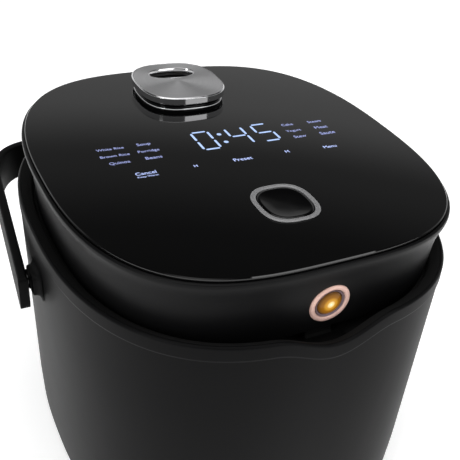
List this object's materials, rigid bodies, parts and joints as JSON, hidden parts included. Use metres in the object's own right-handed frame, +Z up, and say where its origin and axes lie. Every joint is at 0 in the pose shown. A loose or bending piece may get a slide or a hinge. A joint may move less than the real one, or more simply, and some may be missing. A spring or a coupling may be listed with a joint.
{
  "type": "electric pressure cooker",
  "caption": "Countertop electric pressure cooker: rounded-square body, hinged black glass lid with a display, lift-off steam cap, front lamp and a folding bail handle.",
  "frame": {"origin": "on the table under the middle of the footprint, with the bail folded back", "axes": "+Z up, +Y to the back (hinge side), +X to the right as seen from the front"},
  "size_m": [0.2872, 0.314, 0.2413],
  "materials": {
    "satin_black_plastic": "satin moulded, fine texture",
    "matte_black_plastic": "matte, fine grain",
    "black_glass": "gloss, back-printed black",
    "gloss_black_plastic": "gloss",
    "brushed_steel": "brushed in rings, bright edge",
    "satin_trim": "satin grey",
    "aluminium": "spun, satin",
    "nonstick": "non-stick coating",
    "silicone": "translucent white silicone",
    "black_rubber": "matte",
    "copper_trim": "rose-gold plating",
    "mauve_plastic": "matte",
    "amber_lens": "clear amber, lit from behind",
    "steel": "bright",
    "circuit_board": "green solder mask",
    "brass": "satin"
  },
  "bodies": {
    "cooker_body": {"outer_shell": "satin_black_plastic", "upper_collar": "matte_black_plastic", "inner_liner": "aluminium", "inner_pot": "nonstick", "heating_plate": "aluminium", "heating_element": "steel", "sensor_guide": "steel", "sensor_seat": "matte_black_plastic", "sensor_spring": "steel", "base_plate": "matte_black_plastic", "foot_front_left": "black_rubber", "foot_front_right": "black_rubber", "foot_rear_left": "black_rubber", "foot_rear_right": "black_rubber", "power_board": "circuit_board", "power_inlet": "matte_black_plastic", "inlet_pin_live": "brass", "inlet_pin_neutral": "brass", "inlet_pin_earth": "brass", "hinge_tower_left": "satin_black_plastic", "hinge_tower_right": "satin_black_plastic", "hinge_pin": "steel", "hinge_spring": "steel", "latch_strike": "steel", "handle_boss_left": "satin_black_plastic", "handle_boss_right": "satin_black_plastic", "handle_pin_left": "steel", "handle_pin_right": "steel"},
    "lid": {"lid_shell": "satin_black_plastic", "glass_panel": "black_glass", "lid_inner_cover": "matte_black_plastic", "inner_lid": "aluminium", "sealing_gasket": "silicone", "lid_hinge_leaf": "satin_black_plastic", "display_board": "circuit_board", "lamp_trim_ring": "copper_trim", "lamp_bezel": "mauve_plastic", "lamp_lens": "amber_lens", "lamp_board": "circuit_board", "button_trim_ring": "satin_trim", "button_guide": "matte_black_plastic", "button_spring": "steel", "steam_tube": "silicone", "vent_trim_ring": "brushed_steel"},
    "handle": {"handle_bail": "satin_black_plastic"},
    "release_button": {"release_button": "gloss_black_plastic"},
    "latch": {"latch_slider": "matte_black_plastic"},
    "valve": {"pressure_valve": "steel"},
    "vent_cap": {"cap_plate": "brushed_steel", "cap_body": "matte_black_plastic", "cap_seal": "silicone", "cap_baffle": "matte_black_plastic"},
    "sensor": {"pot_sensor": "aluminium"}
  },
  "joints": [
    {"name": "lid_hinge", "type": "hinge", "parent": "cooker_body", "child": "lid", "pos_m": [0, 0.13247, 0.208], "axis": [-1, 0, 0], "range_deg": [0, 85]},
    {"name": "handle_swing", "type": "hinge", "parent": "cooker_body", "child": "handle", "pos_m": [0, -0.00803, 0.1595], "axis": [1, 0, 0], "range_deg": [0, 87]},
    {"name": "button_press", "type": "slide", "parent": "lid", "child": "release_button", "axis": [0, 0, -1], "range_m": [0, 0.003], "stiffness_N_per_m": 350, "springref_m": -0.002, "deforming": ["button_spring"]},
    {"name": "latch_slide", "type": "slide", "parent": "lid", "child": "latch", "axis": [0, 1, 0], "range_m": [0, 0.003]},
    {"name": "valve_lift", "type": "slide", "parent": "lid", "child": "valve", "axis": [0, 0, 1], "range_m": [0, 0.003]},
    {"name": "cap_lift", "type": "slide", "parent": "lid", "child": "vent_cap", "axis": [0, 0, 1], "range_m": [0, 0.04]},
    {"name": "sensor_press", "type": "slide", "parent": "cooker_body", "child": "sensor", "axis": [0, 0, -1], "range_m": [0, 0.002], "stiffness_N_per_m": 500, "springref_m": -0.002, "deforming": ["sensor_spring"]}
  ],
  "couplings": [
    {"joint": "latch_slide", "follows": "button_press", "ratio": 1}
  ]
}
